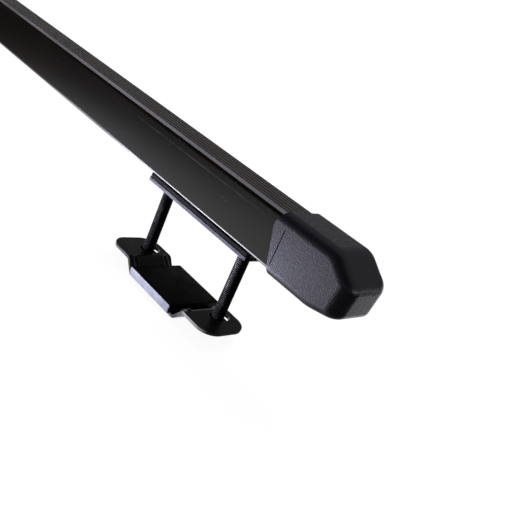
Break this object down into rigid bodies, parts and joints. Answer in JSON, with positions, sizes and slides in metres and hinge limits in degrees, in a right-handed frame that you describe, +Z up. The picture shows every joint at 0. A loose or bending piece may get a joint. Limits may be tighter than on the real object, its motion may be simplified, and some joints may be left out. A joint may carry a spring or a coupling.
{
  "type": "roof rack crossbar",
  "caption": "Black steel car roof crossbar with a ribbed top strip, sloping end caps and sliding feet that clamp to raised roof rails with bolts and slotted brackets.",
  "frame": {"origin": "midway between the feet, on the plane where the upper pads sit on the roof rails", "axes": "+X along the bar, +Y across it, +Z up"},
  "size_m": [1.2014, 0.037, 0.0865],
  "materials": {
    "bar_paint": "gloss black paint",
    "strip_plastic": "satin ribbed plastic",
    "cap_plastic": "grained black plastic",
    "clamp_steel": "satin black paint",
    "fastener_steel": "black zinc plating",
    "pad_rubber": "smooth black rubber"
  },
  "bodies": {
    "bar": {"crossbar": "bar_paint", "top_strip": "strip_plastic", "end_cap_left": "cap_plastic", "end_cap_right": "cap_plastic"},
    "foot_left": {"upper_plate_left": "clamp_steel", "upper_pad_left": "pad_rubber", "clamp_bolt_left_inner": "fastener_steel", "clamp_bolt_left_outer": "fastener_steel"},
    "collar_left": {"washer_left_inner": "fastener_steel", "washer_left_outer": "fastener_steel"},
    "jaw_left": {"lower_bracket_left": "clamp_steel", "lower_pad_left": "pad_rubber"},
    "nut_left_inner": {"nut_left_inner": "fastener_steel"},
    "nut_left_outer": {"nut_left_outer": "fastener_steel"},
    "foot_right": {"upper_plate_right": "clamp_steel", "upper_pad_right": "pad_rubber", "clamp_bolt_right_inner": "fastener_steel", "clamp_bolt_right_outer": "fastener_steel"},
    "collar_right": {"washer_right_inner": "fastener_steel", "washer_right_outer": "fastener_steel"},
    "jaw_right": {"lower_bracket_right": "clamp_steel", "lower_pad_right": "pad_rubber"},
    "nut_right_inner": {"nut_right_inner": "fastener_steel"},
    "nut_right_outer": {"nut_right_outer": "fastener_steel"}
  },
  "joints": [
    {"name": "slide_left", "type": "slide", "parent": "bar", "child": "foot_left", "axis": [1, 0, 0], "range_m": [-0.01, 0.2]},
    {"name": "lift_left", "type": "slide", "parent": "foot_left", "child": "collar_left", "axis": [0, 0, 1], "range_m": [0, 0.04]},
    {"name": "cross_left", "type": "slide", "parent": "collar_left", "child": "jaw_left", "axis": [0, 1, 0], "range_m": [-0.004, 0.001]},
    {"name": "turn_left_inner", "type": "hinge", "parent": "collar_left", "child": "nut_left_inner", "pos_m": [-0.4575, 0, -0.047], "axis": [0, 0, 1], "range_deg": [0, 14401]},
    {"name": "turn_left_outer", "type": "hinge", "parent": "collar_left", "child": "nut_left_outer", "pos_m": [-0.5275, 0, -0.047], "axis": [0, 0, 1], "range_deg": [0, 14401]},
    {"name": "slide_right", "type": "slide", "parent": "bar", "child": "foot_right", "axis": [1, 0, 0], "range_m": [-0.2, 0.01]},
    {"name": "lift_right", "type": "slide", "parent": "foot_right", "child": "collar_right", "axis": [0, 0, 1], "range_m": [0, 0.04]},
    {"name": "cross_right", "type": "slide", "parent": "collar_right", "child": "jaw_right", "axis": [0, 1, 0], "range_m": [-0.004, 0.001]},
    {"name": "turn_right_inner", "type": "hinge", "parent": "collar_right", "child": "nut_right_inner", "pos_m": [0.4575, 0, -0.047], "axis": [0, 0, 1], "range_deg": [0, 14401]},
    {"name": "turn_right_outer", "type": "hinge", "parent": "collar_right", "child": "nut_right_outer", "pos_m": [0.5275, 0, -0.047], "axis": [0, 0, 1], "range_deg": [0, 14401]}
  ],
  "couplings": [
    {"joint": "turn_left_inner", "follows": "lift_left", "rad_per_m": 6283.2},
    {"joint": "turn_left_outer", "follows": "lift_left", "rad_per_m": 6283.2},
    {"joint": "turn_right_inner", "follows": "lift_right", "rad_per_m": 6283.2},
    {"joint": "turn_right_outer", "follows": "lift_right", "rad_per_m": 6283.2}
  ]
}
